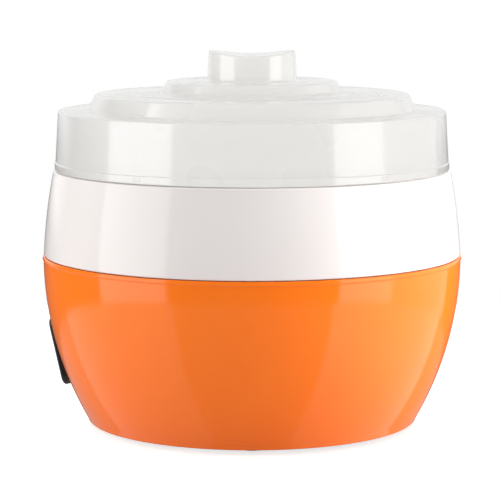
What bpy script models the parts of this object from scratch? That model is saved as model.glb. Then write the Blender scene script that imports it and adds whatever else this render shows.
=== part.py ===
"""A one-litre yogurt maker: a barrel-shaped warm base with a steel pot, an inner lid and a stepped outer lid.

Frame: +Z up, origin on the floor under the middle of the feet, front towards -Y. The mains inlet is at the
left rear. Every size is in metres.
"""

import math

import bmesh
import bpy
from mathutils import Matrix, Vector

MM = 0.001
GAP = 0.3 * MM

# Round pieces: how many sides a full turn gets.
WIDE_SIDES = 40
DISC_SIDES = 24
SMALL_SIDES = 12

# Heights above the floor.
SHELL_BASE = 2.0 * MM
SEAM = 71.8 * MM
DECK_TOP = 107.1 * MM
LID_BASE = 107.5 * MM
LID_RIM = 131.8 * MM
LID_STEP = 138.3 * MM
LID_CROWN = 143.4 * MM
KNOB_TOP = 156.8 * MM

# Radii and walls.
SEAM_RADIUS = 87.6 * MM
BASE_RADIUS = 69.5 * MM
DECK_RADIUS = 82.9 * MM
LID_RADIUS = 82.2 * MM
KNOB_RADIUS = 18.0 * MM
KNOB_DIP = 2.2 * MM
SHELL_WALL = 2.2 * MM
SHELL_BULGE = 4.4 * MM

# The tub that holds the pot, and the heating plate let into its floor.
TUB_RADIUS_TOP = 65.6 * MM
TUB_RADIUS_LOW = 59.8 * MM
TUB_WALL = 2.0 * MM
TUB_FLOOR = 23.0 * MM
TUB_UNDERSIDE = 18.8 * MM
TUB_FLANGE_TOP = 109.4 * MM
TUB_FLANGE_RADIUS = 78.8 * MM
PLATE_RADIUS = 48.7 * MM
PLATE_BOTTOM = 20.9 * MM
PLATE_TOP = 23.3 * MM

# The steel pot and its own lid.
POT_BOTTOM = PLATE_TOP + GAP
POT_RIM = 111.3 * MM
POT_WALL = 0.8 * MM
POT_RADIUS_TOP = 63.8 * MM
POT_RADIUS_LOW = 58.2 * MM
POT_LID_TOP = 126.0 * MM
POT_LID_RADIUS = 71.8 * MM

# The base cover, its screws and the feet.
COVER_BOTTOM = 2.4 * MM
COVER_TOP = 4.6 * MM
COVER_RADIUS = 66.5 * MM
SCREW_CIRCLE = 52.0 * MM
FOOT_CIRCLE = 54.0 * MM
FOOT_RADIUS = 6.6 * MM
CUP_TOP = 9.6 * MM
CUP_SEAT = 7.2 * MM
LEG_RADIUS = 5.0 * MM

# The parts under the heating plate.
HEATER_RADIUS = 13.0 * MM
HEATER_HEIGHT = 3.0 * MM
CLAMP_HALF_WIDTH = 5.0 * MM
CLAMP_SCREW_X = 29.0 * MM
THERMOSTAT_Y = 27.0 * MM
FUSE_Y = -26.0 * MM
FUSE_Z = 16.7 * MM
WIRE_RADIUS = 0.9 * MM

# The mains inlet: a black bezel that lies along the shell's slope, with a recess for a two-pin connector.
INLET_BEARING = math.radians(167)
INLET_TILT = math.radians(13)
INLET_DISTANCE = 81.9 * MM
INLET_HEIGHT = 28.8 * MM
BEZEL_WIDTH = 33.0 * MM
BEZEL_HEIGHT = 29.4 * MM
BLOCK_WIDTH = 19.0 * MM
BLOCK_HEIGHT = 14.0 * MM
BLOCK_DEPTH = 14.0 * MM
RECESS_DEPTH = 11.5 * MM
RECESS_RADIUS = 4.2 * MM
PIN_SPACING = 8.6 * MM
PIN_RADIUS = 1.2 * MM


# ---------------------------------------------------------------- shared tools


def clear_scene():
    for obj in list(bpy.data.objects):
        bpy.data.objects.remove(obj, do_unlink=True)


def material(name, colour, roughness, metallic=0.0, alpha=1.0):
    """One Principled BSDF material, made once for each name."""
    found = bpy.data.materials.get(name)
    if found:
        return found
    made = bpy.data.materials.new(name)
    made.use_nodes = True
    shader = made.node_tree.nodes["Principled BSDF"]
    shader.inputs["Base Color"].default_value = (*colour, 1.0)
    shader.inputs["Roughness"].default_value = roughness
    shader.inputs["Metallic"].default_value = metallic
    shader.inputs["Alpha"].default_value = alpha
    return made


ORANGE = ("orange_plastic", (0.93, 0.20, 0.025), 0.22)
WHITE = ("white_plastic", (0.82, 0.79, 0.76), 0.20)
MILKY = ("milky_plastic", (0.80, 0.80, 0.80), 0.25, 0.0, 0.7)
TUB_WHITE = ("tub_plastic", (0.80, 0.80, 0.78), 0.35)
BLACK = ("black_plastic", (0.012, 0.012, 0.013), 0.22)
RUBBER = ("grey_rubber", (0.10, 0.10, 0.10), 0.75)
POT_STEEL = ("pot_steel", (0.62, 0.62, 0.61), 0.28, 1.0)
ALUMINIUM = ("plate_aluminium", (0.78, 0.78, 0.79), 0.38, 1.0)
ZINC = ("zinc_steel", (0.60, 0.60, 0.60), 0.35, 1.0)
BRASS = ("pin_brass", (0.80, 0.62, 0.33), 0.30, 1.0)
CERAMIC = ("heater_ceramic", (0.16, 0.14, 0.13), 0.65)
MICA = ("mica_sheet", (0.55, 0.47, 0.34), 0.45)
WIRE_BROWN = ("brown_wire", (0.16, 0.06, 0.03), 0.45)
WIRE_BLUE = ("blue_wire", (0.03, 0.10, 0.40), 0.45)


def finish(obj, look):
    obj.data.materials.append(material(*look))
    if obj.type == "MESH":
        obj.data.shade_smooth()
        obj.data.set_sharp_from_angle(angle=math.radians(32))
    return obj


def object_from(bm, name):
    """Closes a bmesh into a named object, with its faces pointing out."""
    bmesh.ops.recalc_face_normals(bm, faces=bm.faces)
    mesh = bpy.data.meshes.new(name)
    bm.to_mesh(mesh)
    bm.free()
    obj = bpy.data.objects.new(name, mesh)
    bpy.context.scene.collection.objects.link(obj)
    return obj


def as_helper(obj):
    """Marks a cutter or a piece that another object takes in."""
    obj.hide_render = True
    obj.display_type = "WIRE"
    return obj


def combine(obj, other, operation="DIFFERENCE"):
    modifier = obj.modifiers.new(operation.lower() + "_" + other.name, "BOOLEAN")
    modifier.operation = operation
    modifier.solver = "EXACT"
    modifier.object = other
    return obj


def arc(start, end, bulge, points):
    """Points on a round arc from start to end, which stands bulge away from the chord, to its right."""
    start = Vector(start)
    end = Vector(end)
    chord = end - start
    half = chord.length / 2
    radius = (half * half + bulge * bulge) / (2 * bulge)
    right = Vector((chord.y, -chord.x)).normalized()
    centre = (start + end) / 2 - right * (radius - bulge)
    swing = math.asin(half / radius)
    along = chord.normalized()
    made = []
    for step in range(points):
        angle = swing * (2 * step / (points - 1) - 1)
        made.append(tuple(centre + radius * (right * math.cos(angle) + along * math.sin(angle))))
    return made


def turned(name, outline, sides):
    """A turned solid about Z from (radius, height) points. An outline that starts and ends on the axis is
    closed by it, and any other outline closes on itself."""
    bm = bmesh.new()
    ring = [bm.verts.new((radius, 0.0, height)) for radius, height in outline]
    edges = [bm.edges.new(pair) for pair in zip(ring, ring[1:])]
    if outline[0][0] > 0 or outline[-1][0] > 0:
        edges.append(bm.edges.new((ring[-1], ring[0])))
    bmesh.ops.spin(
        bm, geom=ring + edges, cent=(0, 0, 0), axis=(0, 0, 1), angle=math.tau, steps=sides, use_merge=True
    )
    bmesh.ops.remove_doubles(bm, verts=bm.verts, dist=1e-6)
    return object_from(bm, name)


def cylinder(name, radius, low, high, sides=SMALL_SIDES):
    return turned(name, [(0, high), (radius, high), (radius, low), (0, low)], sides)


def box(name, size, centre):
    bm = bmesh.new()
    bmesh.ops.create_cube(bm, size=1.0)
    bmesh.ops.scale(bm, vec=size, verts=bm.verts)
    bmesh.ops.translate(bm, vec=centre, verts=bm.verts)
    return object_from(bm, name)


def extruded(name, outline, half_width):
    """A prism from an outline of (x, z) points, centred on y = 0."""
    bm = bmesh.new()
    face = bm.faces.new([bm.verts.new((x, -half_width, z)) for x, z in outline])
    grown = bmesh.ops.extrude_face_region(bm, geom=[face])["geom"]
    moved = [item for item in grown if isinstance(item, bmesh.types.BMVert)]
    bmesh.ops.translate(bm, vec=(0, 2 * half_width, 0), verts=moved)
    return object_from(bm, name)


def on_circle(radius, index, first_degrees):
    """The place of one of four pieces that share a circle."""
    angle = math.radians(first_degrees + 90 * index)
    return Vector((radius * math.cos(angle), radius * math.sin(angle), 0.0))


def inlet_matrix():
    """Local +Z points out of the inlet, +Y up the shell's slope and +X towards the object's front."""
    outward = Vector((math.cos(INLET_BEARING), math.sin(INLET_BEARING), 0.0))
    up = Vector((0.0, 0.0, 1.0))
    normal = outward * math.cos(INLET_TILT) - up * math.sin(INLET_TILT)
    slope = outward * math.sin(INLET_TILT) + up * math.cos(INLET_TILT)
    side = slope.cross(normal)
    turn = Matrix((side, slope, normal)).transposed().to_4x4()
    return Matrix.Translation(outward * INLET_DISTANCE + up * INLET_HEIGHT) @ turn


# ---------------------------------------------------------------- casings


def lower_outline_outer(grow=0.0, points=8):
    """The orange shell's outer curve, top to bottom."""
    curve = arc((BASE_RADIUS, 3.6 * MM), (SEAM_RADIUS, SEAM - 0.8 * MM), SHELL_BULGE, points)
    return [(radius + grow, height) for radius, height in reversed(curve)]


def make_lower_shell():
    inner = arc((67.4 * MM, 7.1 * MM), (SEAM_RADIUS - SHELL_WALL, SEAM), SHELL_BULGE - 0.2 * MM, 6)
    outline = [(SEAM_RADIUS - 0.4 * MM, SEAM)]
    outline += lower_outline_outer()
    outline += [(68.8 * MM, SHELL_BASE), (66.8 * MM, SHELL_BASE), (66.8 * MM, 4.9 * MM)]
    outline += [(60.5 * MM, 4.9 * MM), (60.5 * MM, 7.1 * MM)]
    outline += inner
    shell = turned("lower_shell", outline, WIDE_SIDES)
    window = box(
        "cut_inlet_window",
        (BLOCK_WIDTH + 2 * GAP, BLOCK_HEIGHT + 2 * GAP, 16 * MM),
        (0, 0, -4 * MM),
    )
    window.matrix_world = inlet_matrix()
    combine(shell, as_helper(window))
    return finish(shell, ORANGE)


def make_upper_shell():
    wall = arc((DECK_RADIUS, 106.2 * MM), (87.1 * MM, SEAM + GAP + 0.4 * MM), -0.63 * MM, 6)
    lining = arc((84.9 * MM, 75.0 * MM), (80.6 * MM, 103.4 * MM), 0.5 * MM, 4)
    outline = [(69.6 * MM, DECK_TOP), (82.2 * MM, DECK_TOP)]
    outline += wall
    outline += [(86.7 * MM, SEAM + GAP), (84.3 * MM, SEAM + GAP), (84.3 * MM, 66.2 * MM)]
    outline += [(82.7 * MM, 66.2 * MM), (82.7 * MM, 72.9 * MM)]
    outline += lining
    outline += [(79.2 * MM, 104.8 * MM), (69.6 * MM, 104.8 * MM)]
    return finish(turned("upper_shell", outline, WIDE_SIDES), WHITE)


def make_heating_tub():
    outer = TUB_WALL
    outline = [(TUB_RADIUS_TOP, TUB_FLANGE_TOP), (TUB_FLANGE_RADIUS - 0.4 * MM, TUB_FLANGE_TOP)]
    outline += [(TUB_FLANGE_RADIUS, TUB_FLANGE_TOP - 0.4 * MM), (TUB_FLANGE_RADIUS, DECK_TOP + GAP)]
    outline += [(TUB_RADIUS_TOP + outer, DECK_TOP + GAP), (TUB_RADIUS_LOW + outer, TUB_FLOOR + 2 * MM)]
    outline += [(TUB_RADIUS_LOW - 0.5 * MM, TUB_UNDERSIDE), (44 * MM, TUB_UNDERSIDE)]
    outline += [(44 * MM, PLATE_BOTTOM - GAP), (PLATE_RADIUS + GAP, PLATE_BOTTOM - GAP)]
    outline += [(PLATE_RADIUS + GAP, TUB_FLOOR), (TUB_RADIUS_LOW - 2.5 * MM, TUB_FLOOR)]
    outline += [(TUB_RADIUS_LOW, TUB_FLOOR + 3 * MM)]
    tub = turned("heating_tub", outline, WIDE_SIDES)
    for index in range(4):
        place = on_circle(SCREW_CIRCLE, index, 45)
        leg = cylinder(f"join_leg_{index + 1}", LEG_RADIUS, CUP_TOP + GAP, TUB_UNDERSIDE + 0.8 * MM)
        leg.location = place
        combine(tub, as_helper(leg), "UNION")
        bore = cylinder(f"cut_leg_bore_{index + 1}", 2.1 * MM, CUP_TOP - 2 * MM, 18.4 * MM)
        bore.location = place
        combine(tub, as_helper(bore))
    return finish(tub, TUB_WHITE)


def make_base_cover():
    cover = cylinder("base_cover", COVER_RADIUS, COVER_BOTTOM, COVER_TOP, WIDE_SIDES)
    for index in range(4):
        place = on_circle(SCREW_CIRCLE, index, 45)
        cup = cylinder(f"join_cup_{index + 1}", 6.2 * MM, COVER_TOP - 0.8 * MM, CUP_TOP)
        well = cylinder(f"cut_well_{index + 1}", 4.3 * MM, COVER_BOTTOM - 2 * MM, CUP_SEAT)
        hole = cylinder(f"cut_screw_hole_{index + 1}", 2.2 * MM, CUP_SEAT - 1 * MM, CUP_TOP + 2 * MM)
        for part, operation in ((cup, "UNION"), (well, "DIFFERENCE"), (hole, "DIFFERENCE")):
            part.location = place
            combine(cover, as_helper(part), operation)
        peg_hole = cylinder(f"cut_peg_hole_{index + 1}", 2.3 * MM, 0.0, COVER_TOP + 2 * MM)
        peg_hole.location = on_circle(FOOT_CIRCLE, index, 0)
        combine(cover, as_helper(peg_hole))
    for index in range(-3, 4):
        slot = box(f"cut_vent_{index + 4}", (30 * MM, 2.4 * MM, 8 * MM), (0, index * 6 * MM, 3.5 * MM))
        combine(cover, as_helper(slot))
    return finish(cover, WHITE)


def make_feet():
    outline = [(0, 6.7), (1.5, 6.7), (2.7, 5.5), (2.7, 4.9), (2.0, 4.9), (2.0, 2.1)]
    outline += [(FOOT_RADIUS / MM - 0.5, 2.1), (FOOT_RADIUS / MM, 1.6), (FOOT_RADIUS / MM - 0.5, 0), (0, 0)]
    for index in range(4):
        foot = turned(f"rubber_foot_{index + 1}", [(r * MM, z * MM) for r, z in outline], 16)
        foot.location = on_circle(FOOT_CIRCLE, index, 0)
        finish(foot, RUBBER)


def make_screw(name, head_radius, head_low, head_high, shank_radius, tip):
    """A pan-head screw standing on its head, with a tapered tip."""
    outline = [(0, tip), (0.5 * shank_radius, tip), (shank_radius, tip - 1.2 * shank_radius)]
    outline += [(shank_radius, head_high), (head_radius, head_high), (head_radius, head_low + 0.5 * MM)]
    outline += [(0.7 * head_radius, head_low), (0, head_low)]
    screw = turned(name, outline, SMALL_SIDES)
    slot = box("cut_slot_" + name, (1.3 * head_radius, 0.8 * MM, 2 * MM), (0, 0, head_low - 0.3 * MM))
    combine(screw, as_helper(slot))
    return screw, slot


def make_base_screws():
    for index in range(4):
        name = f"base_screw_{index + 1}"
        for item in make_screw(name, 3.8 * MM, 5.2 * MM, CUP_SEAT - GAP, 1.8 * MM, 18.0 * MM):
            item.location = on_circle(SCREW_CIRCLE, index, 45)
        finish(bpy.data.objects[name], ZINC)


# ---------------------------------------------------------------- heater


def make_heating_plate():
    plate = cylinder("heating_plate", PLATE_RADIUS, PLATE_BOTTOM, PLATE_TOP, WIDE_SIDES)
    for side in (-1, 1):
        bore = cylinder(f"cut_plate_bore_{side + 1}", 1.7 * MM, PLATE_BOTTOM - 2 * MM, PLATE_TOP - 0.6 * MM)
        bore.location = (side * CLAMP_SCREW_X, 0, 0)
        combine(plate, as_helper(bore))
    return finish(plate, ALUMINIUM)


def make_heater():
    top = PLATE_BOTTOM - GAP
    low = top - HEATER_HEIGHT
    finish(cylinder("ptc_heater", HEATER_RADIUS, low, top, DISC_SIDES), CERAMIC)
    sheet_top = low - GAP
    sheet_low = sheet_top - 0.8 * MM
    finish(cylinder("heater_insulator", HEATER_RADIUS + 2 * MM, sheet_low, sheet_top, DISC_SIDES), MICA)
    return top, sheet_low


def make_heater_clamp(top, sheet_low):
    """A hat-shaped steel strap that presses the heater up against the plate."""
    thick = 1.2 * MM
    web_top = sheet_low - GAP
    right = [(34 * MM, top), (24 * MM, top), (18 * MM, web_top)]
    lower = [(17.4 * MM, web_top - thick), (24.6 * MM, top - thick), (34 * MM, top - thick)]
    outline = right + [(-x, z) for x, z in reversed(right)]
    outline += [(-x, z) for x, z in reversed(lower)] + lower
    clamp = extruded("heater_clamp", outline, CLAMP_HALF_WIDTH)
    for number, side in enumerate((-1, 1), 1):
        place = (side * CLAMP_SCREW_X, 0, 0)
        hole = cylinder(f"cut_clamp_hole_{number}", 1.7 * MM, top - 4 * MM, top + 2 * MM)
        hole.location = place
        combine(clamp, as_helper(hole))
        name = f"clamp_screw_{number}"
        head_high = top - thick - GAP
        for item in make_screw(name, 2.7 * MM, head_high - 1.8 * MM, head_high, 1.4 * MM, PLATE_TOP - 0.9 * MM):
            item.location = place
        finish(bpy.data.objects[name], ZINC)
    finish(clamp, ZINC)


def make_thermostat():
    top = PLATE_BOTTOM - GAP
    outline = [(0, top), (8.2 * MM, top), (8.2 * MM, top - 1.6 * MM), (7.2 * MM, top - 1.6 * MM)]
    outline += [(7.2 * MM, 14.4 * MM), (0, 14.4 * MM)]
    body = turned("thermostat", outline, 24)
    body.location = (0, THERMOSTAT_Y, 0)
    tabs = box("join_thermostat_tabs", (22.4 * MM, 4.6 * MM, 0.8 * MM), (0, THERMOSTAT_Y, 15.2 * MM))
    combine(body, as_helper(tabs), "UNION")
    finish(body, BLACK)


def make_thermal_fuse():
    """A fuse body that lies along X, with a tapered sealed end."""
    outline = [(0, 7.0), (1.0, 7.0), (2.0, 5.2), (2.0, -6.6), (1.6, -7.0), (0, -7.0)]
    fuse = turned("thermal_fuse", [(r * MM, z * MM) for r, z in outline], SMALL_SIDES)
    fuse.rotation_euler = (0, math.pi / 2, 0)
    fuse.location = (0, FUSE_Y, FUSE_Z)
    finish(fuse, ALUMINIUM)


# ---------------------------------------------------------------- mains inlet


def bezel_slab():
    """A slab with round corners and a softened front edge, its outer face at local z = 0."""
    depth = 8 * MM
    bm = bmesh.new()
    bmesh.ops.create_cube(bm, size=1.0)
    bmesh.ops.scale(bm, vec=(BEZEL_WIDTH, BEZEL_HEIGHT, depth), verts=bm.verts)
    bmesh.ops.translate(bm, vec=(0, 0, -depth / 2), verts=bm.verts)
    bm.edges.ensure_lookup_table()
    corners = [edge for edge in bm.edges if abs(edge.verts[0].co.z - edge.verts[1].co.z) > depth / 2]
    bmesh.ops.bevel(bm, geom=corners, offset=4 * MM, segments=5, profile=0.5, affect="EDGES")
    front = [edge for edge in bm.edges if all(vert.co.z > -1e-6 for vert in edge.verts)]
    bmesh.ops.bevel(bm, geom=front, offset=0.8 * MM, segments=2, profile=0.5, affect="EDGES")
    return object_from(bm, "inlet_housing")


def connector_recess():
    """The figure-eight hollow that a two-pin connector enters."""
    half = 4.0 * MM
    recess = box("cut_recess", (2 * half, 2 * RECESS_RADIUS, 14 * MM), (0, 0, 7 * MM - RECESS_DEPTH))
    for index, side in enumerate((-1, 1)):
        end = cylinder(f"join_recess_end_{index}", RECESS_RADIUS, -RECESS_DEPTH, 2.5 * MM, 20)
        end.location = (side * half, 0, 0)
        combine(recess, as_helper(end), "UNION")
    return recess


def make_inlet():
    place = inlet_matrix()
    housing = bezel_slab()
    envelope = turned(
        "cut_shell_envelope",
        [(0, SEAM)] + lower_outline_outer(GAP, 25) + [(60 * MM, -4 * MM), (0, -4 * MM)],
        4 * WIDE_SIDES,
    )
    combine(housing, as_helper(envelope))
    block = box("join_inlet_block", (BLOCK_WIDTH, BLOCK_HEIGHT, BLOCK_DEPTH - 1.2 * MM), (0, 0, 0))
    block.matrix_world = place @ Matrix.Translation((0, 0, -(BLOCK_DEPTH + 1.2 * MM) / 2))
    combine(housing, as_helper(block), "UNION")
    recess = connector_recess()
    combine(housing, as_helper(recess))
    for number, side in enumerate((-1, 1), 1):
        hole = cylinder(f"cut_pin_hole_{number}", PIN_RADIUS + GAP, -BLOCK_DEPTH - 2 * MM, -RECESS_DEPTH + 1 * MM)
        hole.matrix_world = place @ Matrix.Translation((side * PIN_SPACING / 2, 0, 0))
        combine(housing, as_helper(hole))
        make_pin_and_terminal(number, hole.matrix_world)
    housing.matrix_world = place
    for helper in (recess, bpy.data.objects["join_recess_end_0"], bpy.data.objects["join_recess_end_1"]):
        helper.matrix_world = place @ helper.matrix_basis
    finish(housing, BLACK)
    make_inlet_clip(place)


def make_pin_and_terminal(number, place):
    tail = BLOCK_DEPTH + 3.4 * MM
    outline = [(0, -1.6 * MM), (0.7 * PIN_RADIUS, -1.6 * MM), (PIN_RADIUS, -2.4 * MM), (PIN_RADIUS, -tail), (0, -tail)]
    pin = turned(f"inlet_pin_{number}", outline, SMALL_SIDES)
    pin.matrix_world = place
    finish(pin, BRASS)
    terminal = box(f"wire_terminal_{number}", (3.6 * MM, 8.4 * MM, 2.4 * MM), (0, -2.0 * MM, 0))
    terminal.matrix_world = place @ Matrix.Translation((0, 0, -BLOCK_DEPTH - 1.7 * MM))
    bore = cylinder(f"cut_terminal_bore_{number}", PIN_RADIUS + GAP, -tail - 2 * MM, -BLOCK_DEPTH + 2 * MM)
    bore.matrix_world = place
    combine(terminal, as_helper(bore))
    finish(terminal, BRASS)


def make_inlet_clip(place):
    """A spring-steel frame pushed over the inlet's block, inside the shell."""
    clip = box("inlet_clip", (26 * MM, 20.5 * MM, 1.0 * MM), (0, 0, 0))
    clip.matrix_world = place @ Matrix.Translation((0, 0, -8.4 * MM))
    window = box("cut_clip_window", (BLOCK_WIDTH + 2 * GAP, BLOCK_HEIGHT + 2 * GAP, 6 * MM), (0, 0, 0))
    window.matrix_world = clip.matrix_world.copy()
    combine(clip, as_helper(window))
    finish(clip, ZINC)


# ---------------------------------------------------------------- wiring


def smooth_route(points, per_span=3):
    """A Catmull-Rom curve through the route's own points."""
    ends = [2 * points[0] - points[1]] + points + [2 * points[-1] - points[-2]]
    made = []
    for before, start, end, after in zip(ends, ends[1:], ends[2:], ends[3:]):
        for step in range(per_span):
            t = step / per_span
            bend = 2 * before - 5 * start + 4 * end - after
            twist = 3 * start - before - 3 * end + after
            made.append(0.5 * (2 * start + (end - before) * t + bend * t * t + twist * t**3))
    return made + [points[-1]]


def make_wire(name, points, look):
    curve = bpy.data.curves.new(name, "CURVE")
    curve.dimensions = "3D"
    curve.bevel_depth = WIRE_RADIUS
    curve.bevel_resolution = 2
    curve.use_fill_caps = True
    route = smooth_route([Vector(point) * MM for point in points])
    spline = curve.splines.new("POLY")
    spline.points.add(len(route) - 1)
    for target, point in zip(spline.points, route):
        target.co = (*point, 1.0)
    obj = bpy.data.objects.new(name, curve)
    bpy.context.scene.collection.objects.link(obj)
    curve.materials.append(material(*look))


def terminal_exit(side):
    """Where a wire leaves its terminal, and a point further along that direction, in millimetres."""
    place = inlet_matrix()
    depth = -BLOCK_DEPTH - 1.7 * MM
    low = place @ Vector((side * PIN_SPACING / 2, -6.5 * MM, depth))
    below = place @ Vector((side * PIN_SPACING / 2, -11.5 * MM, depth + 0.5 * MM))
    return [tuple(low / MM), tuple(below / MM)]


def make_wires():
    fuse_z = FUSE_Z / MM
    live = [(-59, 4.8, 13.2), (-46.5, -5, 11.6), (-32, -16, 12.4), (-18, -24.6, 15.2), (-7.4, -26, fuse_z)]
    neutral = [(-56.6, 18.2, 12.6), (-43, 24, 11.6), (-27, 26.6, 12.4), (-17, 27, 14.8), (-11.6, 27, 15.2)]
    make_wire("wire_live", terminal_exit(1) + live, WIRE_BROWN)
    make_wire("wire_neutral", terminal_exit(-1) + neutral, WIRE_BLUE)
    from_fuse = [(7.4, -26, fuse_z), (13, -25, 16.9), (17.2, -20.5, 18.0), (14.6, -14.6, 18.9), (9.5, -9.5, 19.1)]
    from_stat = [(11.6, 27, 15.2), (16, 25.4, 15.8), (18.2, 20, 17.4), (14.6, 14.6, 18.8), (9.5, 9.5, 19.1)]
    make_wire("wire_fuse_to_heater", from_fuse, WIRE_BROWN)
    make_wire("wire_thermostat_to_heater", from_stat, WIRE_BLUE)


# ---------------------------------------------------------------- pot and lids


def make_inner_pot():
    low = POT_RADIUS_LOW
    outline = [(0, POT_BOTTOM), (low - 5 * MM, POT_BOTTOM), (low - 1.4 * MM, POT_BOTTOM + 1.6 * MM)]
    outline += [(low, POT_BOTTOM + 5 * MM), (POT_RADIUS_TOP, TUB_FLANGE_TOP + GAP)]
    outline += [(67.0 * MM, TUB_FLANGE_TOP + GAP), (67.4 * MM, TUB_FLANGE_TOP + GAP + 0.5 * MM)]
    outline += [(67.0 * MM, POT_RIM), (POT_RADIUS_TOP - 0.4 * MM, POT_RIM)]
    outline += [(POT_RADIUS_TOP - POT_WALL, POT_RIM - 0.5 * MM), (low - POT_WALL, POT_BOTTOM + 5.3 * MM)]
    outline += [(low - 2.1 * MM, POT_BOTTOM + 2.2 * MM), (low - 5.3 * MM, POT_BOTTOM + POT_WALL)]
    outline += [(0, POT_BOTTOM + POT_WALL)]
    return finish(turned("inner_pot", outline, WIDE_SIDES), POT_STEEL)


def make_pot_lid():
    seat = POT_RIM + GAP
    outline = [(0, POT_LID_TOP), (POT_LID_RADIUS - 1.2 * MM, POT_LID_TOP)]
    outline += [(POT_LID_RADIUS, POT_LID_TOP - 0.7 * MM), (POT_LID_RADIUS, POT_LID_TOP - 1.7 * MM)]
    outline += [(67.6 * MM, POT_LID_TOP - 2.2 * MM), (67.6 * MM, seat), (62.3 * MM, seat)]
    outline += [(62.1 * MM, 107.0 * MM), (60.6 * MM, 107.0 * MM), (60.6 * MM, seat + 1.8 * MM)]
    outline += [(65.8 * MM, seat + 1.8 * MM), (65.8 * MM, POT_LID_TOP - 1.8 * MM), (0, POT_LID_TOP - 1.8 * MM)]
    return finish(turned("pot_lid", outline, WIDE_SIDES), MILKY)


def lid_outline():
    """The outer lid, from the knob's top down its outer side, then back up its inner side."""
    outer = [(0, KNOB_TOP), (8 * MM, KNOB_TOP), (KNOB_RADIUS - 1.5 * MM, KNOB_TOP)]
    outer += [(KNOB_RADIUS - 0.4 * MM, KNOB_TOP - 0.5 * MM), (KNOB_RADIUS, KNOB_TOP - 1.7 * MM)]
    outer += [(KNOB_RADIUS + 0.5 * MM, 145.0 * MM), (KNOB_RADIUS + 1.5 * MM, 144.0 * MM)]
    outer += [(35.4 * MM, LID_CROWN), (36.6 * MM, 142.6 * MM), (37.6 * MM, 139.7 * MM)]
    outer += [(64.8 * MM, LID_STEP), (66.3 * MM, 137.1 * MM), (68.4 * MM, 132.2 * MM)]
    outer += [(79.6 * MM, LID_RIM), (80.8 * MM, 131.0 * MM), (81.8 * MM, 110.6 * MM)]
    outer += [(LID_RADIUS, 110.3 * MM), (LID_RADIUS, LID_BASE)]
    inner = [(80.0 * MM, LID_BASE), (79.8 * MM, 111.0 * MM), (78.9 * MM, 129.8 * MM)]
    inner += [(67.0 * MM, 130.2 * MM), (64.4 * MM, 136.3 * MM), (36.0 * MM, 137.7 * MM)]
    inner += [(34.6 * MM, 141.4 * MM), (17.4 * MM, 142.0 * MM), (16.3 * MM, 143.6 * MM)]
    inner += [(15.9 * MM, KNOB_TOP - 2.8 * MM), (14.8 * MM, KNOB_TOP - 2 * MM), (0, KNOB_TOP - 2 * MM)]
    return outer + inner


def hollow_knob_top(obj):
    """Lowers the middle of the knob's top into a saddle that runs front to back."""
    start = 147 * MM
    for vert in obj.data.vertices:
        rise = min(max((vert.co.z - start) / (KNOB_TOP - start), 0.0), 1.0)
        inset = 1.0 - min((vert.co.x / KNOB_RADIUS) ** 2, 1.0)
        if vert.co.x**2 + vert.co.y**2 < (KNOB_RADIUS + 1 * MM) ** 2:
            vert.co.z -= KNOB_DIP * inset * rise


def make_outer_lid():
    lid = turned("outer_lid", lid_outline(), WIDE_SIDES)
    hollow_knob_top(lid)
    return finish(lid, MILKY)


# ---------------------------------------------------------------- the object


def build():
    clear_scene()
    make_lower_shell()
    make_upper_shell()
    make_heating_tub()
    make_base_cover()
    make_feet()
    make_base_screws()
    make_heating_plate()
    top, sheet_low = make_heater()
    make_heater_clamp(top, sheet_low)
    make_thermostat()
    make_thermal_fuse()
    make_inlet()
    make_wires()
    make_inner_pot()
    make_pot_lid()
    make_outer_lid()


build()
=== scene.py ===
"""The looks of a one-litre yogurt maker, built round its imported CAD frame.

The frame's own axes are kept: +Z up, front towards -Y. The two casings, both lids, the pot, the mains inlet,
the feet and the screws are turned or cut again with a fine surface, and every piece gets a procedural
material. A profile is a list of (radius, height, fillet) corners in millimetres.
"""

import math

import bmesh
import bpy
from mathutils import Matrix, Vector


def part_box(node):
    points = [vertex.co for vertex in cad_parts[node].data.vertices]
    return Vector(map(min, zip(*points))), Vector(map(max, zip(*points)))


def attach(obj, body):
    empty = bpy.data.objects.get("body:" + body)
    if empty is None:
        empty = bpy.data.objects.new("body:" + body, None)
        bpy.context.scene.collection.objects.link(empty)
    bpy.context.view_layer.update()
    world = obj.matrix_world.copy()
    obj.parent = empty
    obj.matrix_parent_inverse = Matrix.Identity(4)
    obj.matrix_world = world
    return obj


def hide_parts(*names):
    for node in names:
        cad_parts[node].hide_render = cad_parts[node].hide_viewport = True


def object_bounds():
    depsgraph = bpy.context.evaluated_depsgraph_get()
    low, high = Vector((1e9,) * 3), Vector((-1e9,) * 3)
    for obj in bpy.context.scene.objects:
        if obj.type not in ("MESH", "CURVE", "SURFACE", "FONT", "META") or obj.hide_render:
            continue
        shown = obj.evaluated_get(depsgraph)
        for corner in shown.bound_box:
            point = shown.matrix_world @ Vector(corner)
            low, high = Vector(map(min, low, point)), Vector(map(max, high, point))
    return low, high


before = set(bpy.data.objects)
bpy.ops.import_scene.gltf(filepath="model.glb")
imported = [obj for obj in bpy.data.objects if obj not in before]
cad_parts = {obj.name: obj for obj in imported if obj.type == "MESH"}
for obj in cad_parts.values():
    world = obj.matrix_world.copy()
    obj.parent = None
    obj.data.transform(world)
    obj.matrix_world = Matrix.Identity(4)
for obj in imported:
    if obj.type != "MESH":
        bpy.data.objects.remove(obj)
cad_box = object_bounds()

MM = 0.001
WIDE_SIDES = 288
SMALL_SIDES = 64

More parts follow.
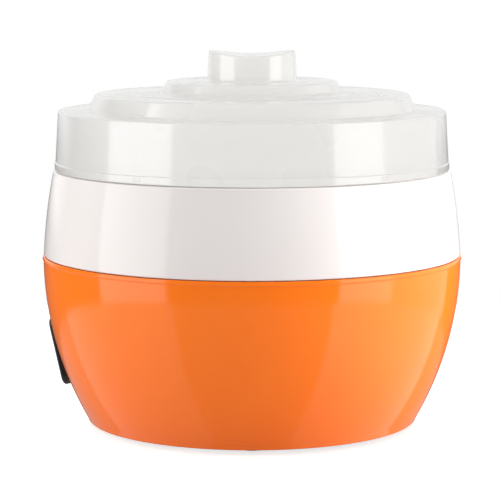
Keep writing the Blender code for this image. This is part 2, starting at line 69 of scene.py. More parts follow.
# Lengths are in millimetres, unless the name says METRES. The first nub's bearing runs from the front towards
# +X. The inlet's bearing runs from +X towards +Y.
KNOB_RADIUS = 18.0
KNOB_DIP = 2.2
KNOB_DIP_DEPTH = 9.8
KNOB_ABOVE_CAD = 0.4
NUB_COUNT = 5
FIRST_NUB_DEGREES = -33
INLET_BEARING = math.radians(167)
INLET_TILT = math.radians(13)
INLET_FACE_RADIUS = 81.9
INLET_FACE_HEIGHT = 28.8
PIN_OFFSET = 4.3
CAMERA_METRES = 0.966
CAMERA_PITCH = math.radians(7.4275)
FLOOR_RADIUS_METRES = 0.34
FLOOR_GAP = 0.2


# ---------------------------------------------------------------- profiles and meshes


def filleted(corners, closed, steps=5):
    """The outline through corners in millimetres, each rounded by its fillet, as points in metres."""
    points = []
    count = len(corners)
    for index, (radius, height, fillet) in enumerate(corners):
        here = Vector((radius, height))
        if fillet <= 0 or (not closed and index in (0, count - 1)):
            points.append(here * MM)
            continue
        back = Vector(corners[index - 1][:2]) - here
        ahead = Vector(corners[(index + 1) % count][:2]) - here
        half = back.angle(ahead) / 2
        reach = min(fillet / math.tan(half), 0.48 * back.length, 0.48 * ahead.length)
        back.normalize()
        ahead.normalize()
        centre = here + (back + ahead).normalized() * reach / math.cos(half)
        first = here + back * reach - centre
        last = here + ahead * reach - centre
        swing = first.angle(last)
        for step in range(steps + 1):
            share = step / steps
            turned = first * math.sin((1 - share) * swing) + last * math.sin(share * swing)
            points.append((centre + turned / math.sin(swing)) * MM)
    return points


def arc(start, end, bulge, count):
    """Corners with no fillet along a round arc that stands bulge to the right of its chord."""
    start = Vector(start)
    end = Vector(end)
    chord = end - start
    half = chord.length / 2
    radius = (half * half + bulge * bulge) / (2 * bulge)
    right = Vector((chord.y, -chord.x)).normalized()
    centre = (start + end) / 2 - right * (radius - bulge)
    swing = math.asin(half / radius)
    along = chord.normalized()
    made = []
    for step in range(count):
        angle = swing * (2 * step / (count - 1) - 1)
        point = centre + radius * (right * math.cos(angle) + along * math.sin(angle))
        made.append((point.x, point.y, 0))
    return made


def between(start, end, count):
    """Corners with no fillet, evenly spaced inside a straight run."""
    start = Vector(start)
    end = Vector(end)
    steps = [start.lerp(end, (index + 1) / (count + 1)) for index in range(count)]
    return [(point.x, point.y, 0) for point in steps]


def object_of(name, mesh):
    obj = bpy.data.objects.new(name, mesh)
    bpy.context.scene.collection.objects.link(obj)
    return obj


def smooth(obj, sharp_degrees=35):
    obj.data.shade_smooth()
    obj.data.set_sharp_from_angle(angle=math.radians(sharp_degrees))
    return obj


def from_bmesh(name, bm):
    bmesh.ops.recalc_face_normals(bm, faces=bm.faces)
    mesh = bpy.data.meshes.new(name)
    bm.to_mesh(mesh)
    bm.free()
    return object_of(name, mesh)


def turned(name, corners, sides=WIDE_SIDES, steps=5):
    """A turned solid about Z. A profile that starts and ends on the axis is closed there, and any other
    profile closes on itself."""
    closed = corners[0][0] > 0 or corners[-1][0] > 0
    profile = filleted(corners, closed, steps)
    rings = []
    bm = bmesh.new()
    for point in profile:
        if point.x < 1e-7:
            rings.append([bm.verts.new((0, 0, point.y))])
            continue
        ring = []
        for side in range(sides):
            angle = math.tau * side / sides
            ring.append(bm.verts.new((point.x * math.cos(angle), point.x * math.sin(angle), point.y)))
        rings.append(ring)
    pairs = list(zip(rings, rings[1:]))
    if closed:
        pairs.append((rings[-1], rings[0]))
    for upper, lower in pairs:
        for side in range(sides):
            after = (side + 1) % sides
            corner = [upper[side % len(upper)], lower[side % len(lower)]]
            corner += [lower[after % len(lower)], upper[after % len(upper)]]
            bm.faces.new(list(dict.fromkeys(corner)))
    return smooth(from_bmesh(name, bm))


def block(name, size, centre, bevel=0.0):
    """A box with softened edges."""
    bm = bmesh.new()
    bmesh.ops.create_cube(bm, size=1.0)
    bmesh.ops.scale(bm, vec=Vector(size) * MM, verts=bm.verts)
    bmesh.ops.translate(bm, vec=Vector(centre) * MM, verts=bm.verts)
    if bevel:
        bmesh.ops.bevel(bm, geom=bm.edges[:], offset=bevel * MM, segments=3, profile=0.5, affect="EDGES")
    return smooth(from_bmesh(name, bm))


def combine(obj, other, operation="DIFFERENCE"):
    """Cuts other from obj, or joins it, and removes other."""
    modifier = obj.modifiers.new(operation, "BOOLEAN")
    modifier.operation = operation
    modifier.solver = "EXACT"
    modifier.object = other
    graph = bpy.context.evaluated_depsgraph_get()
    mesh = bpy.data.meshes.new_from_object(obj.evaluated_get(graph))
    obj.modifiers.clear()
    old = obj.data
    obj.data = mesh
    bpy.data.meshes.remove(old)
    bpy.data.objects.remove(other)
    return smooth(obj)


def radius_and_heights(node):
    """The outer radius, lowest and highest point of a turned CAD node, in millimetres."""
    low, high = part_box(node)
    return high.x / MM, low.z / MM, high.z / MM


def stand_for(obj, node, body, look):
    """obj is shown instead of a CAD node, and moves with its body."""
    obj.data.materials.clear()
    obj.data.materials.append(look)
    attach(obj, body)
    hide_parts(node)
    return obj


# ---------------------------------------------------------------- materials


class Look:
    """A material in the making: a Principled shader and a few node helpers in object space."""

    def __init__(self, name, **sockets):
        self.material = bpy.data.materials.new(name)
        self.material.use_nodes = True
        self.tree = self.material.node_tree
        self.shader = self.tree.nodes["Principled BSDF"]
        for socket, value in sockets.items():
            self.shader.inputs[socket.replace("_", " ")].default_value = value
        self.place = self.tree.nodes.new("ShaderNodeTexCoord").outputs["Object"]

    def add(self, kind, **settings):
        node = self.tree.nodes.new(kind)
        for name, value in settings.items():
            setattr(node, name, value)
        return node

    def link(self, source, target):
        self.tree.links.new(source, target)

    def noise(self, size, detail=3.0, vector=None, roughness=0.5):
        """Noise whose features are about size millimetres across, from 0 to 1."""
        node = self.add("ShaderNodeTexNoise")
        node.inputs["Scale"].default_value = 1.0 / (size * MM)
        node.inputs["Detail"].default_value = detail
        node.inputs["Roughness"].default_value = roughness
        self.link(vector or self.place, node.inputs["Vector"])
        return node.outputs["Fac"]

    def stretched(self, source, low, high, source_low=0.3, source_high=0.7):
        node = self.add("ShaderNodeMapRange")
        node.inputs["From Min"].default_value = source_low
        node.inputs["From Max"].default_value = source_high
        node.inputs["To Min"].default_value = low
        node.inputs["To Max"].default_value = high
        self.link(source, node.inputs["Value"])
        return node.outputs["Result"]

    def colours(self, source, first, second):
        """Blends two colours by source."""
        node = self.add("ShaderNodeMix", data_type="RGBA")
        node.inputs["A"].default_value = (*first, 1)
        node.inputs["B"].default_value = (*second, 1)
        self.link(source, node.inputs["Factor"])
        self.link(node.outputs["Result"], self.shader.inputs["Base Color"])

    def roughness(self, source, low, high, source_low=0.3, source_high=0.7):
        made = self.stretched(source, low, high, source_low, source_high)
        self.link(made, self.shader.inputs["Roughness"])

    def bump(self, source, depth):
        """Raises the surface by up to depth millimetres."""
        node = self.add("ShaderNodeBump")
        node.inputs["Distance"].default_value = depth * MM
        node.inputs["Strength"].default_value = 1.0
        self.link(source, node.inputs["Height"])
        return node.outputs["Normal"]

    def shape(self, normal):
        self.link(normal, self.shader.inputs["Normal"])

    def around_axis(self, spread=0.02):
        """A vector that varies with radius and height and hardly at all round the axis."""
        parts = self.add("ShaderNodeSeparateXYZ")
        self.link(self.place, parts.inputs[0])
        flat = self.add("ShaderNodeCombineXYZ")
        self.link(parts.outputs["X"], flat.inputs["X"])
        self.link(parts.outputs["Y"], flat.inputs["Y"])
        length = self.add("ShaderNodeVectorMath", operation="LENGTH")
        self.link(flat.outputs[0], length.inputs[0])
        small = self.add("ShaderNodeMath", operation="MULTIPLY")
        small.inputs[1].default_value = spread
        self.link(parts.outputs["X"], small.inputs[0])
        made = self.add("ShaderNodeCombineXYZ")
        self.link(length.outputs["Value"], made.inputs["X"])
        self.link(parts.outputs["Z"], made.inputs["Y"])
        self.link(small.outputs[0], made.inputs["Z"])
        return made.outputs[0]


def gloss_plastic(name, light, dark, rough=(0.07, 0.12), depth=0.004):
    """Polished injection-moulded ABS: faint flow clouds in the colour, and a very shallow orange peel."""
    look = Look(name, IOR=1.52)
    look.colours(look.stretched(look.noise(38, 2), 0, 1), light, dark)
    look.roughness(look.noise(9, 3), *rough)
    look.shape(look.bump(look.noise(3.2, 2), depth))
    return look.material


def matt_plastic(name, light, dark, rough=(0.42, 0.55), grain=0.7, depth=0.02):
    """A spark-textured moulding, with fine even grain."""
    look = Look(name, IOR=1.5)
    look.colours(look.stretched(look.noise(14, 3), 0, 1), light, dark)
    look.roughness(look.noise(2.0, 2), *rough)
    look.shape(look.bump(look.noise(grain, 2), depth))
    return look.material


def milky_plastic(name, light, dark, alpha, rough):
    """Milky polypropylene with a polished skin. Each skin hides a share alpha of what is behind it, so a wall
    hides about twice that."""
    look = Look(name, IOR=1.5, Alpha=alpha, Coat_Weight=1.0, Coat_Roughness=0.09, Coat_IOR=1.85)
    clouds = look.noise(40, 1)
    look.colours(look.stretched(clouds, 0, 1, 0.1, 0.9), light, dark)
    look.roughness(clouds, rough - 0.02, rough + 0.02, 0.1, 0.9)
    return look.material


def spun_metal(name, light, dark, rough, line=0.35, depth=0.004):
    """Metal with the fine rings that spinning or turning leaves."""
    look = Look(name, Metallic=1.0)
    rings = look.noise(line, 3, look.around_axis())
    look.colours(look.stretched(rings, 0, 1), light, dark)
    look.roughness(look.noise(6, 3), *rough)
    look.shape(look.bump(rings, depth))
    return look.material


def plated_metal(name, light, dark, rough, size=3.0):
    """Rolled or plated metal, with soft clouds and faint scuffs."""
    look = Look(name, Metallic=1.0)
    look.colours(look.stretched(look.noise(size, 4), 0, 1), light, dark)
    look.roughness(look.noise(0.8, 3), *rough)
    look.shape(look.bump(look.noise(1.2, 3), 0.006))
    return look.material


def mica_sheet():
    """Pressed mica: glossy flakes in layers."""
    look = Look("mica", IOR=1.58)
    flakes = look.add("ShaderNodeTexVoronoi")
    flakes.inputs["Scale"].default_value = 1.0 / (1.8 * MM)
    look.link(look.place, flakes.inputs["Vector"])
    look.colours(flakes.outputs["Distance"], (0.62, 0.53, 0.38), (0.42, 0.34, 0.22))
    look.roughness(look.noise(1.2, 3), 0.25, 0.5)
    look.shape(look.bump(flakes.outputs["Distance"], 0.05))
    return look.material


def make_materials():
    return {
        "orange": gloss_plastic("orange_abs", (1.0, 0.200, 0.010), (0.98, 0.188, 0.008)),
        "white": gloss_plastic("white_abs", (0.80, 0.757, 0.742), (0.785, 0.742, 0.725)),
        "lid": milky_plastic("milky_lid", (0.875, 0.867, 0.848), (0.86, 0.852, 0.833), 0.70, 0.28),
        "pot_lid": milky_plastic("milky_pot_lid", (0.92, 0.91, 0.89), (0.90, 0.885, 0.865), 0.75, 0.35),
        "tub": matt_plastic("tub_polypropylene", (0.80, 0.80, 0.78), (0.74, 0.74, 0.72), (0.3, 0.42)),
        "cover": matt_plastic("cover_abs", (0.82, 0.81, 0.79), (0.77, 0.76, 0.74)),
        "black": gloss_plastic("black_abs", (0.013, 0.013, 0.014), (0.009, 0.009, 0.010), (0.12, 0.2)),
        "rubber": matt_plastic("foot_rubber", (0.11, 0.11, 0.11), (0.07, 0.07, 0.07), (0.7, 0.85), 0.5, 0.03),
        "steel": spun_metal("pot_steel", (0.68, 0.67, 0.66), (0.56, 0.55, 0.54), (0.16, 0.26)),
        "aluminium": spun_metal(
            "plate_aluminium", (0.80, 0.80, 0.81), (0.70, 0.70, 0.71), (0.28, 0.42), 0.5, 0.01
        ),
        "tin": plated_metal("fuse_tin", (0.74, 0.73, 0.72), (0.64, 0.63, 0.62), (0.25, 0.4)),
        "zinc": plated_metal("zinc_plate", (0.66, 0.66, 0.64), (0.54, 0.54, 0.52), (0.26, 0.42)),
        "brass": plated_metal("pin_brass", (0.82, 0.66, 0.38), (0.72, 0.55, 0.28), (0.18, 0.32), 1.5),
        "bakelite": matt_plastic(
            "thermostat_phenolic", (0.03, 0.028, 0.026), (0.016, 0.015, 0.014), (0.3, 0.45)
        ),
        "ceramic": matt_plastic(
            "heater_ceramic", (0.19, 0.17, 0.155), (0.12, 0.105, 0.10), (0.55, 0.72), 0.4, 0.03
        ),
        "mica": mica_sheet(),
        "brown_wire": matt_plastic(
            "brown_pvc", (0.17, 0.07, 0.035), (0.12, 0.045, 0.02), (0.32, 0.48), 0.6, 0.01
        ),
        "blue_wire": matt_plastic(
            "blue_pvc", (0.035, 0.11, 0.42), (0.02, 0.08, 0.34), (0.32, 0.48), 0.6, 0.01
        ),
    }


# ---------------------------------------------------------------- casings


def shell_wall(outer, top):
    """The orange shell's outer curve, from its base up to just under the lip."""
    return arc((69.5, 3.6), (outer - 0.35, top - 2.4), 4.3, 40)


def make_lower_shell(looks):
    outer, low, top = radius_and_heights("lower_shell")
    wall = list(reversed(shell_wall(outer, top)))
    corners = [(outer - 2.2, top, 0.4), (outer - 0.25, top, 0.35), (outer, top - 1.5, 0.25)]
    corners += [(outer - 0.35, top - 1.9, 0.2)] + wall
    corners += [(68.8, low, 0.7), (66.8, low, 0.4), (66.8, 4.9, 0.3), (60.5, 4.9, 0.3), (60.5, 7.1, 0.4)]
    corners += arc((67.4, 7.1), (outer - 2.2, top - 1.0), 4.2, 24)
    shell = turned("orange_shell", corners)
    window = block("window", (19.6, 14.6, 16), (0, 0, -4))
    window.matrix_world = inlet_matrix()
    combine(shell, window)
    return stand_for(shell, "lower_shell", "base", looks["orange"])


def make_upper_shell(looks):
    outer, low, top = radius_and_heights("upper_shell")
    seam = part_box("lower_shell")[1].z / MM
    corners = [(69.6, top, 0.4), (outer - 4.3, top, 1.1)]
    corners += arc((outer - 4.2, top - 0.9), (outer, seam + 0.7), -0.63, 30)
    corners += [(outer - 0.3, seam + 0.3, 0.2), (84.3, seam + 0.3, 0.2), (84.3, low, 0.3)]
    corners += [(82.7, low, 0.3), (82.7, 72.9, 0)] + arc((84.9, 75.0), (80.6, 103.4), 0.5, 12)
    corners += [(79.2, 104.8, 0.6), (69.6, 104.8, 0.3)]
    shell = turned("white_shell", corners)
    return stand_for(shell, "upper_shell", "base", looks["white"])


# ---------------------------------------------------------------- lids and pot


def lid_corners():
    outer, base, top = radius_and_heights("outer_lid")
    knob = top + KNOB_ABOVE_CAD
    face = [(0, knob, 0)] + between((0, knob), (KNOB_RADIUS - 2, knob), 7)
    face += [(KNOB_RADIUS - 0.1, knob, 1.0), (KNOB_RADIUS + 0.6, base + 36.6, 1.2)]
    face += [(35.4, base + 36.5, 1.6), (37.4, base + 32.4, 0.6)]
    face += [(54.0, base + 31.9, 0.2), (54.6, base + 31.5, 0.2), (65.2, base + 31.1, 1.6)]
    face += [(68.2, base + 24.8, 0.6), (80.6, base + 24.3, 0.8)]
    face += [(81.8, base + 3.4, 0.2), (82.2, base + 3.0, 0.25), (outer, base, 0.5)]
    back = [(80.0, base, 0.5), (79.8, base + 3.5, 0.3), (78.8, base + 22.4, 1.2)]
    back += [(66.9, base + 22.8, 0.8), (64.4, base + 28.9, 1.2), (36.0, base + 30.2, 0.8)]
    back += [(34.3, base + 34.4, 1.0), (16.9, base + 34.7, 1.0), (15.9, top - 1.9, 1.4)]
    back += [(14.4, top - 2.0, 0)] + between((14.4, top - 2.0), (0, top - 2.0), 6) + [(0, top - 2.0, 0)]
    return face + back


def hollow_knob_top(lid):
    """Lowers the middle of the knob's top into a saddle that runs front to back."""
    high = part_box("outer_lid")[1].z
    start = high - KNOB_DIP_DEPTH * MM
    knob = KNOB_RADIUS * MM
    for vert in lid.data.vertices:
        if vert.co.x**2 + vert.co.y**2 > (knob + 1.2 * MM) ** 2:
            continue
        rise = min(max((vert.co.z - start) / (high - start), 0.0), 1.0)
        inset = 1.0 - min((vert.co.x / knob) ** 2, 1.0)
        vert.co.z -= KNOB_DIP * MM * inset * rise


def add_lip_nubs(lid):
    """Small moulded nubs, evenly spaced round the lid's lip and standing 0.4 mm proud of it."""
    outer, base, _ = radius_and_heights("outer_lid")
    for number in range(NUB_COUNT):
        nub = block("lip_nub", (3.2, 1.6, 1.2), (0, 0.4 - outer, base + 1.7), bevel=0.4)
        bearing = FIRST_NUB_DEGREES + 360 / NUB_COUNT * number
        nub.matrix_world = Matrix.Rotation(math.radians(bearing), 4, "Z")
        combine(lid, nub, "UNION")


def make_outer_lid(looks):
    lid = turned("stepped_lid", lid_corners(), steps=6)
    hollow_knob_top(lid)
    add_lip_nubs(lid)
    lid.visible_shadow = False
    return stand_for(lid, "outer_lid", "outer_lid", looks["lid"])


def make_pot_lid(looks):
    outer, low, top = radius_and_heights("pot_lid")
    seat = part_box("inner_pot")[1].z / MM + 0.3
    corners = [(0, top - 0.6, 0), (30, top - 0.6, 0.3), (31.2, top, 0.3), (outer - 0.4, top, 0.9)]
    corners += [(outer, top - 1.8, 0.6), (67.6, top - 2.2, 0.6), (67.6, seat, 0.5), (62.3, seat, 0.3)]
    corners += [(62.1, low, 0.4), (60.6, low, 0.4), (60.6, seat + 1.8, 0.5), (65.8, seat + 1.8, 0.5)]
    corners += [(65.8, top - 1.8, 0.8), (0, top - 1.8, 0)]
    return stand_for(turned("pot_cover", corners), "pot_lid", "pot_lid", looks["pot_lid"])


def make_pot(looks):
    _, low, rim = radius_and_heights("inner_pot")
    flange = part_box("heating_tub")[1].z / MM + 0.3
    corners = [(0, low + 0.5, 0), (40, low + 0.5, 1.5), (43, low, 1.5), (54, low, 4.5), (58.2, low + 5, 5)]
    corners += [(63.8, flange, 0.8), (67.0, flange, 0.5), (67.4, flange + 0.5, 0.5), (67.0, rim, 0.7)]
    corners += [(63.4, rim, 1.0), (57.4, low + 5.3, 5), (52.9, low + 0.8, 4), (0, low + 1.3, 0)]
    stand_for(turned("steel_pot", corners), "inner_pot", "inner_pot", looks["steel"])


# ---------------------------------------------------------------- mains inlet


def inlet_matrix():
    """Local +Z points out of the inlet, +Y up the shell's slope and +X towards the object's front."""
    outward = Vector((math.cos(INLET_BEARING), math.sin(INLET_BEARING), 0.0))
    up = Vector((0.0, 0.0, 1.0))
    normal = outward * math.cos(INLET_TILT) - up * math.sin(INLET_TILT)
    slope = outward * math.sin(INLET_TILT) + up * math.cos(INLET_TILT)
    turn = Matrix((slope.cross(normal), slope, normal)).transposed().to_4x4()
    return Matrix.Translation(outward * INLET_FACE_RADIUS * MM + up * INLET_FACE_HEIGHT * MM) @ turn


def prism(name, width, height, corner, low, high, edge=0.0):
    """A rounded rectangle extruded along Z, with its front edge softened."""
    bm = bmesh.new()
    bmesh.ops.create_cube(bm, size=1.0)
    bmesh.ops.scale(bm, vec=Vector((width, height, high - low)) * MM, verts=bm.verts)
    bmesh.ops.translate(bm, vec=Vector((0, 0, (low + high) / 2)) * MM, verts=bm.verts)
    half = 0.5 * (high - low) * MM
    tall = [item for item in bm.edges if abs(item.verts[0].co.z - item.verts[1].co.z) > half]
    bmesh.ops.bevel(bm, geom=tall, offset=corner * MM, segments=14, profile=0.5, affect="EDGES")
    if edge:
        top = [item for item in bm.edges if all(vert.co.z > high * MM - 1e-6 for vert in item.verts)]
        bmesh.ops.bevel(bm, geom=top, offset=edge * MM, segments=5, profile=0.5, affect="EDGES")
    return from_bmesh(name, bm)


def make_inlet(looks):
    place = inlet_matrix()
    outer, _, top = radius_and_heights("lower_shell")
    housing = prism("inlet_bezel", 33.0, 29.4, 4.0, -8.0, 0.0, 0.9)
    housing.matrix_world = place
    wall = [(radius + 0.3, height, 0) for radius, height, _ in reversed(shell_wall(outer, top))]
    core = turned("core", [(0, top, 0)] + wall + [(60, -4, 0), (0, -4, 0)])
    combine(housing, core)
    body = block("body", (19.0, 14.0, 12.8), (0, 0, -7.6))
    body.matrix_world = place
    combine(housing, body, "UNION")
    recess = prism("recess", 16.4, 8.4, 4.19, -11.5, 4.0)
    recess.matrix_world = place
    combine(housing, recess)
    for side in (-1, 1):
        hole = turned("hole", [(0, -10, 0), (1.5, -10, 0), (1.5, -16, 0), (0, -16, 0)], 32)
        hole.matrix_world = place @ Matrix.Translation((side * PIN_OFFSET * MM, 0, 0))
        combine(housing, hole)
    stand_for(housing, "inlet_housing", "base", looks["black"])
    for number, side in enumerate((-1, 1), 1):
        corners = [(0, -1.6, 0), (1.2, -1.6, 0.7), (1.2, -17.4, 0.2), (0, -17.4, 0)]
        pin = turned(f"contact_pin_{number}", corners, 32)
        pin.matrix_world = place @ Matrix.Translation((side * PIN_OFFSET * MM, 0, 0))
        stand_for(pin, f"inlet_pin_{number}", "base", looks["brass"])


# ---------------------------------------------------------------- underside


def centre_of(node):
    low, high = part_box(node)
    return (low + high) / 2


def make_feet(looks):
    for number in range(1, 5):
        node = f"rubber_foot_{number}"
        radius = (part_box(node)[1].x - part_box(node)[0].x) / 2 / MM
        corners = [(0, 6.7, 0), (1.5, 6.7, 0.5), (2.7, 5.5, 0.3), (2.7, 4.9, 0.2), (2.0, 4.9, 0.1)]
        corners += [(2.0, 2.1, 0.1), (radius, 2.1, 0.5), (radius - 0.3, 0, 0.5)]
        corners += [(radius - 1.9, 0, 0.2), (radius - 2.2, 0.35, 0.2), (0, 0.35, 0)]
        foot = turned(f"foot_{number}", corners, SMALL_SIDES)
        place = centre_of(node)
        foot.location = (place.x, place.y, 0)
        stand_for(foot, node, "base", looks["rubber"])


def make_screw(name, node, head, head_low, head_high, shank, tip):
    """A pan-head screw standing on its head, with a cross recess and a thread."""
    corners = [(0, tip, 0), (0.45 * shank, tip - 0.2, 0.1)]
    height = tip - 1.2 * shank
    while height > head_high + 0.9:
        corners += [(shank, height, 0.05), (0.78 * shank, height - 0.45, 0.05)]
        height -= 0.9
    corners += [(0.9 * shank, head_high, 0.1), (head, head_high, 0.15), (head, head_low + 0.7, 0.5)]
    corners += [(0.62 * head, head_low, 0.9), (0, head_low, 0)]
    screw = turned(name, corners, SMALL_SIDES, 3)
    for turn in range(2):
        bar = block("bar", (1.15 * head, 0.75, 2.0), (0, 0, head_low))
        bar.rotation_euler = (0, 0, turn * math.pi / 2)
        combine(screw, bar)
    place = centre_of(node)
    screw.location = (place.x, place.y, 0)
    return screw


def make_screws(looks):
    for number in range(1, 5):
        node = f"base_screw_{number}"
        _, low, high = radius_and_heights(node)
        screw = make_screw(f"cover_screw_{number}", node, 3.8, low, 6.9, 1.8, high)
        stand_for(screw, node, "base", looks["zinc"])
    for number in range(1, 3):
        node = f"clamp_screw_{number}"
        _, low, high = radius_and_heights(node)
        screw = make_screw(f"strap_screw_{number}", node, 2.7, low, low + 1.8, 1.4, high)
        stand_for(screw, node, "base", looks["zinc"])


# ---------------------------------------------------------------- carried-over CAD nodes


def finish_cad_nodes(looks):
    """The CAD nodes whose shape is right keep it, and take a procedural material."""
    chosen = {
        "heating_tub": "tub",
        "base_cover": "cover",
        "heating_plate": "aluminium",
        "ptc_heater": "ceramic",
        "heater_insulator": "mica",
        "heater_clamp": "zinc",
        "thermostat": "bakelite",
        "thermal_fuse": "tin",
        "inlet_clip": "zinc",
        "wire_terminal_1": "brass",
        "wire_terminal_2": "brass",
        "wire_live": "brown_wire",
        "wire_fuse_to_heater": "brown_wire",
        "wire_neutral": "blue_wire",
        "wire_thermostat_to_heater": "blue_wire",
    }
    for node, look in chosen.items():
        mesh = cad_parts[node].data
        mesh.materials.clear()
        mesh.materials.append(looks[look])


# ---------------------------------------------------------------- camera, light and floor


def make_camera():
    """Looks down on the object by a little over seven degrees, from just under a metre."""
    low, high = cad_box
    target = Vector((0, 0, 0.4656 * (low.z + high.z)))
    data = bpy.data.cameras.new("camera")
    data.lens = 165.6
    data.sensor_width = 36.0
    data.shift_x = -0.004
    data.clip_start = 0.05
    data.clip_end = 100
    camera = bpy.data.objects.new("camera", data)
    bpy.context.scene.collection.objects.link(camera)
    camera.location = target + CAMERA_METRES * Vector((0, -math.cos(CAMERA_PITCH), math.sin(CAMERA_PITCH)))
    camera.rotation_euler = (math.pi / 2 - CAMERA_PITCH, 0, 0)
    bpy.context.scene.camera = camera


def panel(name, width, height, radiance):
    """An area lamp of that radiance for matt surfaces. Mirror images come from the world instead."""
    light = bpy.data.lights.new(name, "AREA")
    light.shape = "RECTANGLE"
    light.size = width
    light.size_y = height
    light.energy = radiance * math.pi * width * height
    made = bpy.data.objects.new(name, light)
    bpy.context.scene.collection.objects.link(made)
    made.visible_camera = False
    made.visible_transmission = False
    made.visible_glossy = False
    return made


def softbox(name, first, last, radiance, distance=0.9):
    """A vertical panel that faces the object. It fills the bearings first to last, in degrees round from the
    camera's side towards +X."""
    low = -0.15
    high = 0.85
    bearing = math.radians((first + last) / 2)
    width = 2 * distance * math.tan(math.radians(last - first) / 2)
    made = panel(name, width, high - low, radiance)
    made.location = (distance * math.sin(bearing), -distance * math.cos(bearing), (low + high) / 2)
    made.rotation_euler = (math.pi / 2, 0, bearing)
    return made


def only_on(light, pieces):
    """Lets a lamp light the given pieces and nothing else."""
    lit = bpy.data.collections.new(f"{light.name}_pieces")
    for piece in pieces:
        lit.objects.link(piece)
    light.light_linking.receiver_collection = lit


def make_lights(casings, lids):
    """Two soft side lamps and one overhead for everything, and extra ones for the casings and the lids."""
    softbox("left_fill", -110, -50, 0.9)
    softbox("right_fill", 60, 118, 1.0)
    only_on(softbox("left_key", -110, -50, 1.4, distance=1.0), casings)
    only_on(softbox("right_key", 60, 118, 5.9, distance=1.0), casings)
    only_on(softbox("lid_fill", -45, 45, 1.0, distance=1.1), lids)
    top = panel("top_fill", 1.2, 1.2, 0.7)
    top.location = (0, 0.1, 1.3)


def ray_share(tree, name):
    path = tree.nodes.new("ShaderNodeLightPath")
    return path.outputs[name]


def switched(tree, share, off, on):
    """Mixes two shaders by a share from the light path."""
    mix = tree.nodes.new("ShaderNodeMixShader")
    tree.links.new(ray_share(tree, share), mix.inputs["Fac"])
    tree.links.new(off, mix.inputs[1])
    tree.links.new(on, mix.inputs[2])
    return mix.outputs[0]


def ramp(tree, source, first, last, low=0.0, high=1.0):
    """Goes from low to high as source goes from first to last."""
    node = tree.nodes.new("ShaderNodeMapRange")
    for name, value in zip(("From Min", "From Max", "To Min", "To Max"), (first, last, low, high)):
        node.inputs[name].default_value = value
    tree.links.new(source, node.inputs["Value"])
    return node.outputs["Result"]


def maths(tree, operation, *terms):
    node = tree.nodes.new("ShaderNodeMath")
    node.operation = operation
    for term, socket in zip(terms, node.inputs):
        tree.links.new(term, socket)
    return node.outputs[0]


def band(tree, bearing, first, last, radiance):
    """That radiance between two bearings in degrees, and none outside them."""
    edge = math.radians(1.0)
    first = math.radians(first)
    last = math.radians(last)
    rise = ramp(tree, bearing, first - edge, first + edge, 0.0, radiance)
    return maths(tree, "MULTIPLY", rise, ramp(tree, bearing, last - edge, last + edge, 1.0, 0.0))


def mirrored_room(tree):
    """What glossy surfaces show: a dark room with softboxes and a white backdrop over a grey table, and the
    softboxes' soft sheen on that table."""
    heading = tree.nodes.new("ShaderNodeTexCoord")
    parts = tree.nodes.new("ShaderNodeSeparateXYZ")
    tree.links.new(heading.outputs["Generated"], parts.inputs[0])
    height = parts.outputs["Z"]
    forward = ramp(tree, parts.outputs["Y"], -1.0, 1.0, 1.0, -1.0)
    bearing = maths(tree, "ARCTAN2", parts.outputs["X"], forward)
    boxes = band(tree, bearing, -91, -47, 1.75)
    boxes = maths(tree, "ADD", boxes, band(tree, bearing, 48, 82, 2.1))
    boxes = maths(tree, "ADD", boxes, band(tree, bearing, 82, 135, 0.85))
    boxes = maths(tree, "MULTIPLY", boxes, ramp(tree, height, -0.27, -0.25))
    boxes = maths(tree, "MULTIPLY", boxes, ramp(tree, height, 0.62, 0.66, 1.0, 0.0))
    sheen = maths(tree, "ADD", band(tree, bearing, -128, -44, 0.52), band(tree, bearing, 45, 132, 0.88))
    sheen = maths(tree, "MULTIPLY", sheen, ramp(tree, height, -0.27, -0.25, 1.0, 0.0))
    sheen = maths(tree, "MULTIPLY", sheen, ramp(tree, height, -0.95, -0.45, 0.2, 1.0))
    backdrop = ramp(tree, parts.outputs["Y"], 0.6, 0.8, 0.0, 0.8)
    backdrop = maths(tree, "MULTIPLY", backdrop, ramp(tree, height, -0.08, -0.02))
    shown = ramp(tree, height, -0.28, -0.255, 0.40, 0.12)
    for extra in (boxes, sheen, backdrop):
        shown = maths(tree, "ADD", shown, extra)
    return shown


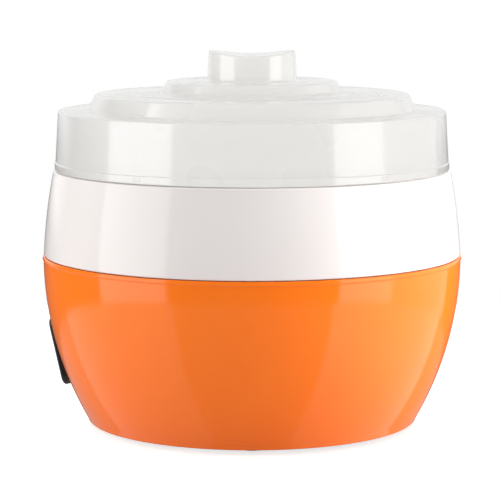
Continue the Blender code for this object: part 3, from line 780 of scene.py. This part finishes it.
def make_world():
    """Even soft light on matt surfaces, a room in mirror images, and white behind the object."""
    world = bpy.data.worlds.new("studio")
    bpy.context.scene.world = world
    world.use_nodes = True
    tree = world.node_tree
    skies = []
    for radiance in (0.60, 1.0, 1.0, 1.0):
        node = tree.nodes.new("ShaderNodeBackground")
        node.inputs["Color"].default_value = (1, 1, 1, 1)
        node.inputs["Strength"].default_value = radiance
        skies.append(node)
    tree.links.new(mirrored_room(tree), skies[1].inputs["Strength"])
    joined = skies[0].outputs[0]
    for share, sky in zip(("Is Glossy Ray", "Is Transmission Ray", "Is Camera Ray"), skies[1:]):
        joined = switched(tree, share, joined, sky.outputs[0])
    tree.links.new(joined, tree.nodes["World Output"].inputs["Surface"])


def make_floor():
    """A pale round table top, lifted towards white for the camera. Mirror images show the world's table."""
    bm = bmesh.new()
    bmesh.ops.create_circle(bm, cap_ends=True, radius=FLOOR_RADIUS_METRES, segments=128)
    floor = from_bmesh("floor", bm)
    material = bpy.data.materials.new("floor_white")
    material.use_nodes = True
    tree = material.node_tree
    plain = tree.nodes["Principled BSDF"]
    plain.inputs["Base Color"].default_value = (0.88, 0.88, 0.88, 1)
    plain.inputs["Roughness"].default_value = 0.6
    lifted = tree.nodes.new("ShaderNodeAddShader")
    glow = tree.nodes.new("ShaderNodeEmission")
    glow.inputs["Strength"].default_value = 0.7
    tree.links.new(plain.outputs[0], lifted.inputs[0])
    tree.links.new(glow.outputs[0], lifted.inputs[1])
    joined = switched(tree, "Is Camera Ray", plain.outputs[0], lifted.outputs[0])
    tree.links.new(joined, tree.nodes["Material Output"].inputs["Surface"])
    floor.data.materials.append(material)
    floor.location.z = -FLOOR_GAP * MM
    floor.visible_glossy = False


# ---------------------------------------------------------------- the scene


def build():
    bpy.context.scene.view_settings.view_transform = "Standard"
    looks = make_materials()
    casings = [make_lower_shell(looks), make_upper_shell(looks)]
    make_inlet(looks)
    make_pot(looks)
    lids = [make_pot_lid(looks), make_outer_lid(looks)]
    make_feet(looks)
    make_screws(looks)
    finish_cad_nodes(looks)
    make_camera()
    make_lights(casings, lids)
    make_world()
    make_floor()


build()
